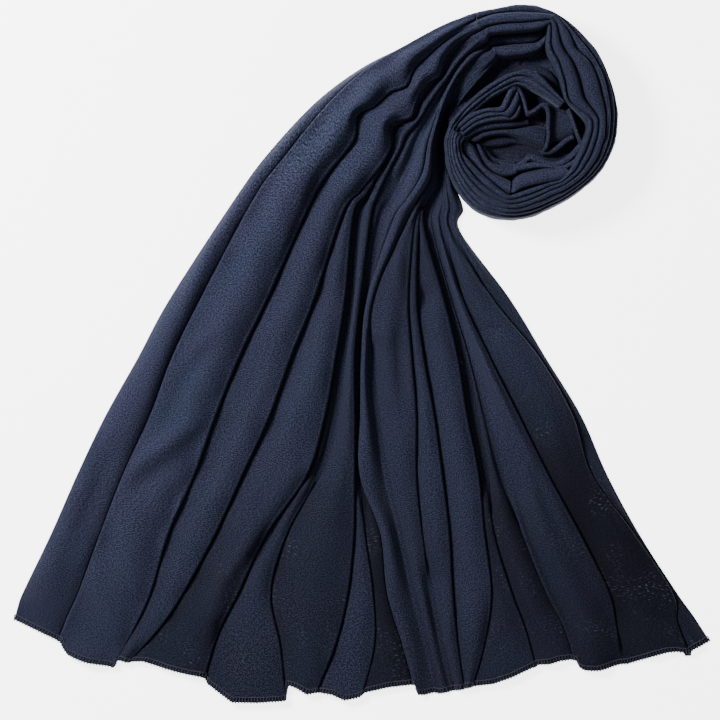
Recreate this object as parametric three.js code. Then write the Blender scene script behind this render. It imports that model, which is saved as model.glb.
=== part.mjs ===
// A jersey hijab headscarf laid flat: one rectangle of cloth whose short edge is spread in a pleated
// fan, gathered into a neck at the other side, with the rest wound round and laid down as a coil.
// Millimetres, +Z up. The origin is on the surface it lies on, under the middle of its outline.
// The hem is towards -Y and the coil towards +X +Y.

import * as THREE from 'three';
import { mergeVertices } from 'three/addons/utils/BufferGeometryUtils.js';

// Driving dimensions
const WALL = 1.2; // thickness of one layer of cloth
const LAYER = 1.7; // rise from one layer to the next where the cloth folds over itself
const SEAM_GAP = 0.3; // gap between one stretch of cloth and the next
const STEP_OPEN = 3; // a fold whose overlap is this far below zero has opened out flat
const NOSE = 0.2; // how far the inner turn of a fold stands past its edge
const CLEAR = 1.6; // flat edge that a panel keeps beside each fold
const SLANT = 0.15; // tilt of a fold's middle layer, up at one end and down at the other
const SEAM_PACE = 20; // least run of a fold along the cloth, for one step of the table at the seam
const FAN_ROWS = 15; // rows along the cloth from hem to seam
const NECK_ROWS = 11; // rows along the cloth from seam to coil
const COIL_STEP = 8; // degrees from one section of the coil to the next
const HEART_STEP = 20; // degrees from one spoke of the coil's middle to the next
const LEAST_CROWN = 0.3; // least height of a panel's crown over its edges
const DROP_SHARE = 0.2; // share of a panel over which its hem drops to the left of it
const LEFT_EDGE = 0.45; // height of the neck's left edge, against the valleys between its panels
const RIGHT_EDGE = 0.5; // height of the neck's right edge, against those valleys
const OUTER_VALLEY = 5; // depth of the valleys between the outer turn's folds
const INNER_VALLEY = 4; // the same for the inner turn
const WELD = 1e-4; // points nearer than this are one point

// Stations along the cloth, each a column of the fold table: the hem, four lines up the fan, the
// seam between fan and neck, and three lines on to where the neck meets the coil.
const STATIONS = ['hem', 'low', 'middle', 'waist', 'high', 'seam', 'neck', 'shoulder', 'top'];
const SEAM = STATIONS.indexOf('seam');
const TOP = STATIONS.indexOf('top');

// Folds from left to right. Each station gives [x, y, overlap]: the edge that shows, and how far
// the cloth doubles back under it, or opens out where that is below zero. "over" is the side that
// lies on top. "drop" is how much lower the hem hangs on the right of the fold than on its left.
const FOLDS = [
  { over: 'left', drop: 0,
    hem: [-296.6, -224, 0], low: [-289, -200, 0], middle: [-243, -100, 0], waist: [-191, 0, 0],
    high: [-158, 60, 0], seam: [-108, 136, 0], neck: [-60, 198, 0], shoulder: [20, 258, 0],
    top: [94.2, 290.5, 0] },
  { over: 'right', drop: 7,
    hem: [-258, -244, 11], low: [-240, -200, 10], middle: [-202, -100, -1], waist: [-160, 0, -3],
    high: [-130, 60, -3], seam: [-91, 133.4, -3], neck: [-48, 189, -3], shoulder: [25, 252, -3],
    top: [95.3, 288.3, -3] },
  { over: 'left', drop: -2,
    hem: [-213, -264, 14], low: [-181, -200, 12], middle: [-144, -100, 14], waist: [-106, 0, 12],
    high: [-77, 60, 9], seam: [-47.5, 126.9, 5], neck: [-20, 174, 3], shoulder: [36, 238, 2],
    top: [97.5, 284.3, 1] },
  { over: 'left', drop: -3,
    hem: [-199, -261, 2], low: [-153, -200, 10], middle: [-103, -100, 14], waist: [-62, 0, 12],
    high: [-39, 60, 8], seam: [-20, 122.7, 3], neck: [5, 156, 3], shoulder: [47, 224, 2],
    top: [99.8, 279.9, 1] },
  { over: 'left', drop: 14,
    hem: [-135, -273, 0], low: [-106, -200, 4], middle: [-48, -100, 8], waist: [-26, 0, 6],
    high: [-17, 60, 3], seam: [-9, 121, 1], neck: [10, 153, -3], shoulder: [50, 219, -3],
    top: [101.5, 276.8, -3] },
  { over: 'left', drop: -12,
    hem: [-66, -297, 6], low: [-79, -200, 8], middle: [-35, -100, -3], waist: [-19, 0, -3],
    high: [-11, 60, -3], seam: [-4, 120.3, -3], neck: [14, 150, -3], shoulder: [52, 215, -3],
    top: [102.9, 274.2, -3] },
  { over: 'left', drop: 1,
    hem: [-40, -286, 6], low: [-14, -200, 9], middle: [-9, -100, 6], waist: [-8, 0, 1],
    high: [-1, 60, 0.5], seam: [6, 118.8, 1], neck: [20, 147, 2], shoulder: [55, 211, 2],
    top: [104.6, 271.1, 1] },
  { over: 'right', drop: 9,
    hem: [45, -279, 5], low: [20, -200, 8], middle: [1, -100, 5], waist: [1.5, 0, 3],
    high: [8, 60, 2], seam: [28, 115.5, 1], neck: [39, 139, 2], shoulder: [62, 207, 2],
    top: [107.4, 265.8, 1] },
  { over: 'right', drop: 0,
    hem: [66, -287, -3], low: [45, -200, -3], middle: [26, -100, -3], waist: [13, 0, -3],
    high: [17, 60, 1], seam: [40, 113.6, 2], neck: [50, 135, 2], shoulder: [64.5, 205, 1],
    top: [108.8, 263.2, 1] },
  { over: 'right', drop: -3,
    hem: [92, -282, 4], low: [109, -200, 8], middle: [99, -100, 6], waist: [82, 0, 4],
    high: [66, 60, 0], seam: [51.5, 111.9, -3], neck: [56, 132, -3], shoulder: [66, 203, -3],
    top: [110.2, 260.5, -3] },
  { over: 'left', drop: 0,
    hem: [147, -264, 3], low: [126, -200, 3], middle: [112, -100, -3], waist: [91, 0, -3],
    high: [72, 60, -3], seam: [59.5, 110.7, -3], neck: [62, 130, -3], shoulder: [67.5, 200.5, -3],
    top: [111.4, 258.3, -3] },
  { over: 'left', drop: 0,
    hem: [220, -262, -2], low: [209, -200, 4], middle: [158, -100, 5], waist: [107, 0, 4],
    high: [81, 60, 0], seam: [67.5, 109.5, -3], neck: [67, 128, -3], shoulder: [69, 198, -3],
    top: [112.6, 256.1, -3] },
  { over: 'left', drop: -2,
    hem: [279, -254, 2], low: [258, -200, 3], middle: [194, -100, 5], waist: [149, 0, 4],
    high: [102, 60, 0], seam: [75.8, 108.2, -3], neck: [72, 126, -3], shoulder: [69, 194.5, -3],
    top: [113.8, 253.9, -3] },
  { over: 'left', drop: 0,
    hem: [296.6, -242, 0], low: [268, -200, 0], middle: [209, -100, 0], waist: [157, 0, 0],
    high: [121, 60, 0], seam: [84, 107, 0], neck: [77, 126, 0], shoulder: [69.7, 192, 0],
    top: [115, 251.7, 0] },
];

// Panels between the folds, from left to right: how high each one's crown stands at each station.
const CROWNS = [
  { hem: 4, low: 6, middle: 9, waist: 12, high: 14, seam: 15, neck: 16, shoulder: 13, top: 8 },
  { hem: 6, low: 9, middle: 12, waist: 16, high: 19, seam: 22, neck: 22, shoulder: 16, top: 8 },
  { hem: 2, low: 6, middle: 10, waist: 13, high: 17, seam: 19, neck: 19, shoulder: 16, top: 8 },
  { hem: 5, low: 8, middle: 11, waist: 13, high: 14, seam: 9, neck: 6, shoulder: 6, top: 4 },
  { hem: 5, low: 6, middle: 3, waist: 3, high: 3, seam: 3, neck: 4, shoulder: 4, top: 3 },
  { hem: 5, low: 9, middle: 8, waist: 4, high: 4, seam: 5, neck: 6, shoulder: 7, top: 4 },
  { hem: 4, low: 6, middle: 2, waist: 2, high: 3, seam: 8, neck: 12, shoulder: 8, top: 4 },
  { hem: 5, low: 6, middle: 7, waist: 7, high: 6, seam: 11, neck: 13, shoulder: 8, top: 4 },
  { hem: 5, low: 8, middle: 10, waist: 12, high: 14, seam: 13, neck: 9, shoulder: 6, top: 4 },
  { hem: 4, low: 6, middle: 5, waist: 5, high: 4, seam: 4, neck: 6, shoulder: 5, top: 4 },
  { hem: 5, low: 8, middle: 12, waist: 9, high: 7, seam: 4, neck: 6, shoulder: 5, top: 4 },
  { hem: 4, low: 7, middle: 10, waist: 13, high: 12, seam: 4, neck: 6, shoulder: 5, top: 3 },
  { hem: 1, low: 2, middle: 3, waist: 4, high: 7, seam: 4, neck: 5, shoulder: 4, top: 3 },
];

// Height of the valleys between the panels where the neck is gathered up on its own hidden layers
const VALLEYS = { seam: 3, neck: 9, shoulder: 19, top: 30 };

// The coil, in plan about its own centre. Angles turn clockwise from +Y as the cloth is wound.
const COIL_CENTRE = new THREE.Vector2(140, 205);

// Outer turn: at each angle the radii of its outer edge and of the folds that show on top of it,
// then its inner edge, and the height of its highest fold.
const OUTER_TURN = [
  { angle: -27.8, radii: [96, 89, 83, 76, 67, 54], height: 40 },
  { angle: 0, radii: [92, 86, 77, 69, 60, 43], height: 43 },
  { angle: 30, radii: [83, 78, 72, 64, 55, 38], height: 45 },
  { angle: 60, radii: [76, 71, 64, 56, 47, 36], height: 45 },
  { angle: 90, radii: [76, 71, 66, 60, 54, 49], height: 45 },
  { angle: 120, radii: [78.5, 74, 70, 65, 59, 53], height: 45 },
  { angle: 150, radii: [80, 76, 72, 68, 64, 60], height: 45 },
  { angle: 180, radii: [87, 83, 79, 75, 71, 66.5], height: 45 },
  { angle: 210, radii: [93, 88, 84, 80, 76, 71], height: 44 },
  { angle: 240, radii: [78, 75, 72, 69, 66, 62], height: 42 },
  { angle: 255, radii: [71, 68.5, 66, 63, 60, 57], height: 40 },
  { angle: 266, radii: [65.5, 63.5, 61, 59, 57, 54.5], height: 38 },
];
const OUTER_START = OUTER_TURN[0].angle;
const OUTER_END = OUTER_TURN[OUTER_TURN.length - 1].angle;

// Inner turn: the same, all the way round
const INNER_TURN = [
  { angle: 0, radii: [37, 34, 30, 25], height: 34 },
  { angle: 30, radii: [33, 30, 26, 21], height: 32 },
  { angle: 60, radii: [31, 28, 25, 21], height: 30 },
  { angle: 90, radii: [47, 42, 34, 22], height: 27 },
  { angle: 120, radii: [51, 46, 38, 27], height: 28 },
  { angle: 150, radii: [57, 52, 43, 33], height: 34 },
  { angle: 180, radii: [65.8, 58, 47, 37], height: 36 },
  { angle: 210, radii: [70.1, 61, 52, 43], height: 36 },
  { angle: 240, radii: [59, 56, 51, 45], height: 36 },
  { angle: 270, radii: [52, 49, 45, 40], height: 36 },
  { angle: 300, radii: [47.5, 44, 39, 32], height: 36 },
  { angle: 330, radii: [40, 37, 32, 26], height: 35 },
];

// The middle of the coil: folds across it, from its low edge to its high edge along Y
const HEART_FOLDS = [
  { across: 0, height: 20 },
  { across: 0.12, height: 27 },
  { across: 0.25, height: 20 },
  { across: 0.38, height: 10 },
  { across: 0.52, height: 22 },
  { across: 0.66, height: 17 },
  { across: 0.8, height: 25 },
  { across: 1, height: 18 },
];

const HEART_CLEAR = 0.9; // gap from the middle to the turn round it
const HEART_LOW = -38; // low edge of the middle's folds along Y, from the coil's centre
const HEART_REACH = 64; // from that low edge to the high edge
const HEART_LEVELS = [0, 0.35, 0.6, 0.8, 0.93, 1]; // rings of the middle, from its centre to its edge
const HEART_EDGE = { from: 0.7, fall: 0.35 }; // where the middle's edge starts to fall, and how far
const HEART_GROW = 0.2; // the middle's least radius, and what that adds to its edge

// Section of a coil's turn, in shares of its height and of a fold's width
const SIDE_HEIGHT = 0.55; // where the outer side ends and rounds in
const SIDE_LEAN = 0.01; // how far the outer side leans out
const FIRST_FOLD = 0.86; // height of the outermost fold
const INNER_SIDE = 0.3; // height where the inner side ends
const LAST_VALLEY = 0.5; // height of the valley inside the last fold
const RIDGE = { outer: 0.2, crest: 0.55, valley: 0.05, swell: 0.07, below: 0.6 };

const PANEL_SHARES = [0, 0.2, 0.5, 0.8, 1]; // places of a panel's points across it

// Rounded crown of a panel, from 0 at its edges to 1 along its middle
const bulge = (t) => (4 * t * (1 - t)) ** 1.5;

const smooth = (t) => {
  const u = Math.min(Math.max(t, 0), 1);
  return u * u * (3 - 2 * u);
};

const spline = (a, b, c, d, t) =>
  0.5 * (2 * b + (c - a) * t + (2 * a - 5 * b + 4 * c - d) * t * t + (3 * b - a - 3 * c + d) * t ** 3);

// A value that runs smoothly through a list of values, at a place given in steps of the list
function through(values, place) {
  const last = values.length - 1;
  const i = Math.min(Math.floor(place), last - 1);
  const before = values[Math.max(i - 1, 0)];
  const after = values[Math.min(i + 2, last)];
  return spline(before, values[i], values[i + 1], after, place - i);
}

const column = (row, entry) => STATIONS.map((station) => row[station][entry]);
const heights = (row) => STATIONS.map((station) => row[station]);

// Place and overlap of every fold at one place along the cloth
function foldsAt(place) {
  const folds = FOLDS.map((row) => ({
    onTop: row.over,
    at: new THREE.Vector2(through(column(row, 0), place), through(column(row, 1), place)),
    overlap: through(column(row, 2), place),
    drop: row.drop * (1 - smooth(place)),
  }));
  folds.forEach((fold, i) => {
    const before = folds[Math.max(i - 1, 0)].at;
    const after = folds[Math.min(i + 1, folds.length - 1)].at;
    fold.along = after.clone().sub(before).normalize();
  });
  return folds;
}

// The six points of one fold: the left panel's end, the turn, the middle layer, the other turn and
// the right panel's start. Each is a distance along the row and a height.
function foldPath(fold) {
  const { onTop, overlap } = fold;
  const rise = smooth((overlap + STEP_OPEN) / (STEP_OPEN - 1));
  const turn = smooth(overlap + 1);
  const slack = 0.5 * (1 - turn);
  const end = onTop === 'left' ? 0 : overlap;
  const start = onTop === 'left' ? -overlap : 0;
  const leftZ = onTop === 'left' ? 2 * LAYER * rise : 0;
  const rightZ = 2 * LAYER * rise - leftZ;
  const tilt = (onTop === 'left' ? SLANT : -SLANT) * rise;
  const middleZ = LAYER * rise;
  const reach = (LAYER / 2) * turn;
  return [
    { x: end - slack, z: leftZ },
    { x: end + reach, z: (leftZ + middleZ + tilt) / 2 },
    { x: end + NOSE * turn + slack, z: middleZ + tilt },
    { x: start - NOSE * turn - slack, z: middleZ - tilt },
    { x: start - reach, z: (rightZ + middleZ - tilt) / 2 },
    { x: start + slack, z: rightZ },
  ];
}

// One row of the spread cloth, as the points of its middle surface
function sheetRow(place) {
  const folds = foldsAt(place);
  const paths = folds.map(foldPath);
  const points = [];
  const put = (fold, x, z) => {
    const at = fold.at.clone().addScaledVector(fold.along, x);
    points.push(new THREE.Vector3(at.x, at.y, WALL / 2 + z));
  };
  CROWNS.forEach((row, i) => {
    const [left, right] = [folds[i], folds[i + 1]];
    const crown = Math.max(through(heights(row), place), LEAST_CROWN);
    const path = paths[i];
    const next = paths[i + 1];
    const first = i === 0 ? { x: 0, z: 0 } : path[5];
    const last = i === CROWNS.length - 1 ? { x: 0, z: 0 } : next[0];
    if (i === 0) put(left, 0, 0);
    else path.forEach(({ x, z }) => put(left, x, z));
    const from = left.at.clone().addScaledVector(left.along, Math.max(first.x, 0));
    const to = right.at.clone().addScaledVector(right.along, Math.min(last.x, 0));
    const clear = Math.min(CLEAR, 0.2 * from.distanceTo(to));
    from.addScaledVector(left.along, clear);
    to.addScaledVector(right.along, -clear);
    for (const t of PANEL_SHARES) {
      const at = from.clone().lerp(to, t);
      const dip = left.drop * smooth(t / DROP_SHARE) * (1 - t);
      const level = first.z * (1 - smooth((t - 0.4) / 0.6)) + last.z * smooth(t / 0.6);
      points.push(new THREE.Vector3(at.x, at.y - dip, WALL / 2 + level + crown * bulge(t)));
    }
  });
  const right = folds[folds.length - 1];
  put(right, 0, 0);
  return points;
}

// Direction square to one step of a row, out of the cloth's upper side
function squareTo(before, after) {
  const step = after.clone().sub(before);
  const run = Math.hypot(step.x, step.y) * (Math.sign(step.x) || 1);
  return new THREE.Vector3((-step.x * step.z) / run, (-step.y * step.z) / run, run).normalize();
}

// Moves a row of points out from the cloth's middle surface to one side of its wall
function wallSide(row, side) {
  return row.map((point, i) => {
    const out = new THREE.Vector3();
    if (i > 0) out.add(squareTo(row[i - 1], point));
    if (i < row.length - 1) out.add(squareTo(point, row[i + 1]));
    return point.clone().addScaledVector(out.normalize(), (side * WALL) / 2);
  });
}

// A closed body through rings of points, each ring a closed outline of the same number of points.
// Open bodies get a cap at each end, closed ones run round to their first ring.
function loft(rings, cap) {
  const count = rings[0].length;
  const positions = rings.flat().flatMap((point) => point.toArray());
  const index = [];
  const spans = cap ? rings.length - 1 : rings.length;
  for (let r = 0; r < spans; r += 1) {
    const here = r * count;
    const there = ((r + 1) % rings.length) * count;
    for (let i = 0; i < count; i += 1) {
      const j = (i + 1) % count;
      index.push(here + i, here + j, there + j, here + i, there + j, there + i);
    }
  }
  if (cap) {
    const last = (rings.length - 1) * count;
    for (const [a, b, c] of cap(rings[0])) index.push(a, c, b);
    for (const [a, b, c] of cap(rings[rings.length - 1])) index.push(last + a, last + b, last + c);
  }
  const geometry = new THREE.BufferGeometry();
  geometry.setAttribute('position', new THREE.Float32BufferAttribute(positions, 3));
  geometry.setIndex(index);
  return facingOut(mergeVertices(geometry, WELD));
}

// Turns a body's faces round where they point in
function facingOut(geometry) {
  const p = geometry.attributes.position;
  const index = geometry.index.array;
  const corner = (i) => new THREE.Vector3().fromBufferAttribute(p, index[i]);
  let volume = 0;
  for (let i = 0; i < index.length; i += 3) {
    volume += corner(i).dot(corner(i + 1).cross(corner(i + 2)));
  }
  if (volume < 0) {
    for (let i = 0; i < index.length; i += 3) {
      [index[i + 1], index[i + 2]] = [index[i + 2], index[i + 1]];
    }
  }
  geometry.computeVertexNormals();
  return geometry;
}

// Cap of a wall's ring, whose second half runs back under its first
function wallCap(ring) {
  const half = ring.length / 2;
  const faces = [];
  for (let i = 0; i < half - 1; i += 1) {
    const under = ring.length - 1 - i;
    faces.push([i, i + 1, under - 1], [i, under - 1, under]);
  }
  return faces;
}

// Cap of a ridged solid's ring, laid out along the ring's own row
function ridgedCap(ring) {
  const start = ring[0];
  const flat = ring.map((p) => new THREE.Vector2(Math.hypot(p.x - start.x, p.y - start.y), p.z));
  const turn = THREE.ShapeUtils.isClockWise(flat);
  return THREE.ShapeUtils.triangulateShape(flat, []).map(([a, b, c]) => {
    const same = THREE.ShapeUtils.isClockWise([flat[a], flat[b], flat[c]]) === turn;
    return same ? [a, b, c] : [a, c, b];
  });
}

function spreadFan() {
  const rings = [];
  const end = SEAM - SEAM_GAP / SEAM_PACE;
  for (let r = 0; r < FAN_ROWS; r += 1) {
    const row = sheetRow((end * r) / (FAN_ROWS - 1));
    rings.push([...wallSide(row, 1), ...wallSide(row, -1).reverse()]);
  }
  return loft(rings, wallCap);
}

// The neck's rings: panels ridged on top, one flat underside where it rests
function gatheredNeck() {
  const floor = heights({ hem: 0, low: 0, middle: 0, waist: 0, high: 0, ...VALLEYS });
  const rings = [];
  for (let r = 0; r < NECK_ROWS; r += 1) {
    const place = SEAM + ((TOP - SEAM) * r) / (NECK_ROWS - 1);
    const folds = foldsAt(place);
    const valley = through(floor, place);
    const top = [];
    CROWNS.forEach((row, i) => {
      const crown = through(heights(row), place);
      const edge = i === 0 ? LEFT_EDGE : 1;
      for (const t of PANEL_SHARES.slice(0, -1)) {
        const at = folds[i].at.clone().lerp(folds[i + 1].at, t);
        const level = valley * (edge + (1 - edge) * smooth(t * 2));
        top.push(new THREE.Vector3(at.x, at.y, level + crown * bulge(t)));
      }
    });
    const right = folds[folds.length - 1].at;
    top.push(new THREE.Vector3(right.x, right.y, valley * RIGHT_EDGE));
    rings.push([...top, grounded(top[top.length - 1]), grounded(top[0])]);
  }
  return loft(rings, ridgedCap);
}

const grounded = (point) => new THREE.Vector3(point.x, point.y, 0);

// Point of the coil at an angle clockwise from +Y
function coilPoint(angle, radius, z) {
  const turn = THREE.MathUtils.degToRad(angle);
  const x = COIL_CENTRE.x + radius * Math.sin(turn);
  const y = COIL_CENTRE.y + radius * Math.cos(turn);
  return new THREE.Vector3(x, y, z);
}

// Radii and height of one turn of the coil at any angle
function turnAt(rows, angle, closed) {
  const count = rows.length;
  const angles = rows.map((row) => row.angle);
  const full = closed ? [...angles, angles[0] + 360] : angles;
  const i = Math.max(full.findIndex((value, k) => k > 0 && angle <= value) - 1, 0);
  const t = (angle - full[i]) / (full[i + 1] - full[i]);
  const pick = (k) => (closed ? rows[(k + count) % count] : rows[Math.min(Math.max(k, 0), count - 1)]);
  const four = [pick(i - 1), pick(i), pick(i + 1), pick(i + 2)];
  const mix = (get) => spline(...four.map(get), t);
  return {
    radii: rows[0].radii.map((_, n) => mix((row) => row.radii[n])),
    height: mix((row) => row.height),
  };
}

// Section of a turn: a rounded outer side, a fold on each radius with a valley between, and an
// inner side that falls to the middle of the coil
function turnRing(rows, angle, closed, valleyDepth) {
  const { radii, height } = turnAt(rows, angle, closed);
  const count = radii.length;
  const ring = [coilPoint(angle, radii[0], 0)];
  ring.push(coilPoint(angle, radii[0] + SIDE_LEAN, height * SIDE_HEIGHT));
  for (let n = 0; n < count - 1; n += 1) {
    const wide = radii[n] - radii[n + 1];
    const rise = n === 0 ? FIRST_FOLD : 1;
    const fall = n === count - 2 ? LAST_VALLEY : 1;
    const crest = height * Math.min(rise + RIDGE.swell, 1);
    ring.push(coilPoint(angle, radii[n] - wide * RIDGE.outer, height * rise - RIDGE.below));
    ring.push(coilPoint(angle, radii[n] - wide * RIDGE.crest, crest));
    ring.push(coilPoint(angle, radii[n + 1] + wide * RIDGE.valley, (height - valleyDepth) * fall));
  }
  ring.push(coilPoint(angle, radii[count - 1], height * INNER_SIDE));
  ring.push(coilPoint(angle, radii[count - 1], 0));
  return ring;
}

function turnedBand(rows, from, to, valleyDepth) {
  const closed = to - from >= 360;
  const steps = Math.round((to - from) / COIL_STEP);
  const rings = [];
  for (let k = 0; k < (closed ? steps : steps + 1); k += 1) {
    rings.push(turnRing(rows, from + ((to - from) * k) / steps, closed, valleyDepth));
  }
  return loft(rings, closed ? null : ridgedCap);
}

// The middle of the coil: a rounded solid with folds lying across it
function coilHeart() {
  const angles = [];
  for (let angle = 0; angle < 360; angle += HEART_STEP) angles.push(angle);
  const edgeAt = (angle) => turnAt(INNER_TURN, angle, true).radii.at(-1) - HEART_CLEAR;
  const rings = HEART_LEVELS.map((level) => angles.map((angle) => {
    const point = coilPoint(angle, edgeAt(angle) * level + HEART_GROW, 0);
    return point.setZ(heartHeight(point, level));
  }));
  const base = angles.map((angle) => coilPoint(angle, edgeAt(angle) + HEART_GROW, 0));
  return discSolid(rings, base);
}

// Height of the middle at a point, whose level runs from 0 at the centre to 1 at the edge
function heartHeight(point, level) {
  const low = COIL_CENTRE.y + HEART_LOW;
  const share = THREE.MathUtils.clamp((point.y - low) / HEART_REACH, 0, 1);
  const k = HEART_FOLDS.findIndex((row, i) => i > 0 && share <= row.across) - 1;
  const [a, b] = [HEART_FOLDS[k], HEART_FOLDS[k + 1]];
  const t = (share - a.across) / (b.across - a.across);
  const height = a.height + (b.height - a.height) * smooth(t);
  return height * (1 - HEART_EDGE.fall * smooth((level - HEART_EDGE.from) / (1 - HEART_EDGE.from)));
}

// A closed body with a flat base, from rings that run from its middle out to its edge
function discSolid(rings, base) {
  const middle = rings[0].reduce((sum, p) => sum.add(p), new THREE.Vector3());
  middle.divideScalar(rings[0].length);
  const count = base.length;
  const all = [...rings.slice(1), base];
  const positions = all.flat().flatMap((point) => point.toArray());
  const index = [];
  const top = all.length * count;
  const bottom = top + 1;
  positions.push(...middle.toArray(), middle.x, middle.y, 0);
  for (let i = 0; i < count; i += 1) {
    const j = (i + 1) % count;
    index.push(top, i, j);
    for (let r = 0; r < all.length - 1; r += 1) {
      const here = r * count;
      const there = here + count;
      index.push(here + i, there + i, there + j, here + i, there + j, here + j);
    }
    const outer = (all.length - 1) * count;
    index.push(bottom, outer + j, outer + i);
  }
  const geometry = new THREE.BufferGeometry();
  geometry.setAttribute('position', new THREE.Float32BufferAttribute(positions, 3));
  geometry.setIndex(index);
  return facingOut(mergeVertices(geometry, WELD));
}

const jersey = (shade) => new THREE.MeshStandardMaterial({ color: shade, roughness: 0.9, metalness: 0 });

function piece(name, geometry, shade) {
  const mesh = new THREE.Mesh(geometry, jersey(shade));
  mesh.name = name;
  return mesh;
}

const group = new THREE.Group();
group.add(piece('spread_fan', spreadFan(), 0x2a3045));
group.add(piece('gathered_neck', gatheredNeck(), 0x2c3248));
const outerTurn = turnedBand(OUTER_TURN, OUTER_START, OUTER_END, OUTER_VALLEY);
group.add(piece('coil_outer_turn', outerTurn, 0x2e354b));
group.add(piece('coil_inner_turn', turnedBand(INNER_TURN, 0, 360, INNER_VALLEY), 0x2a3044));
group.add(piece('coil_heart', coilHeart(), 0x252a3c));

export default group;
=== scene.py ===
import math
import bpy
import bmesh
import numpy as np
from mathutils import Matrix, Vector, noise


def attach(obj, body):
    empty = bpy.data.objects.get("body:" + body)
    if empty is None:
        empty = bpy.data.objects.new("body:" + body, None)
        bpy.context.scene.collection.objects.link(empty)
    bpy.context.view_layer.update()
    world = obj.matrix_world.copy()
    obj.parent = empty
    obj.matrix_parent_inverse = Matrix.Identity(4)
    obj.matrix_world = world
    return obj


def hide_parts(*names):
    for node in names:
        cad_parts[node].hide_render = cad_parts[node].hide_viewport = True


# A jersey headscarf laid flat: its overlocked edge spread in a pleated fan, the cloth gathered to
# a neck, and the rest wound round in a coil. Tables are in millimetres, meshes in metres.
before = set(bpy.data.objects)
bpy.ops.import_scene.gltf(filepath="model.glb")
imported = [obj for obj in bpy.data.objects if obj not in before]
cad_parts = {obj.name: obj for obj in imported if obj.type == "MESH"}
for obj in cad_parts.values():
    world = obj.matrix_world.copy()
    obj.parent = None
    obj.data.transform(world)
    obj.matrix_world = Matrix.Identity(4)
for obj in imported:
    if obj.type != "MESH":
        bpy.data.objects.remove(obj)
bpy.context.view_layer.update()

MM = 0.001
CLOTH = 0.9  # thickness of one layer
FLOOR_CLEAR = 0.5  # height of the cloth's middle surface where it rests
LOWEST = 0.0003  # nothing lies nearer the floor, in metres
OPEN = 3.0  # a fold whose overlap is this far below zero has opened out flat
ROOM_SHARE = 0.4  # how much of the gap to the next fold an opened-out fold may take
STAND_SHARE = 0.6  # how much of each fold's standing height is left where the cloth has settled
VALLEY = 4.0  # depth of the valley where a panel comes out from under a fold
VALLEY_WIDTH = 2.8
SHADE = 0.42  # painted shade: how much darker the cloth's colour is made right beside a fold that lies over it
SHADE_WIDTH = 8.0
NECK_PALER = 0.65  # share of that shade which is gone where the neck's folds lie close together
CROWN_SHARE = 0.6  # how much of each panel's crown is left where the cloth has settled
FIRM_WIDTH = 6.0  # beside a fold the cloth is held, and creases freely this far from it
CLEAR = 0.3  # from a fold's last point to its panel's first
NEAREST = 0.5  # and that point lies no nearer to the fold's place than this
VALLEY_SHARE = 0.3  # a valley's depth is at most this share of its panel's width
VALLEY_CURVE = 1.6  # the higher, the steeper the valley's side is beside the fold
LEAST_CROWN = 0.3
HEM_LINES = 1.6  # the hem's own drops and sags fade out over this many lines
DROP_SHARE = 0.12  # the hem drops beside a fold within this share of the panel
STRAIGHT_HEM = [0] * 5
SEED = 7

# Lines across the cloth from hem to coil, with rows of points from each line to the next. FAN_LINES
# are at fixed heights up the picture.
FAN_LINES = [-200, -150, -100, -50, 0, 50]
ROWS_TO_NEXT = [11, 10, 11, 11, 11, 11, 11, 16, 8, 10, 11, 12, 8, 6]
NECK_LINE = 7  # the fan ends here and the neck begins

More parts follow.
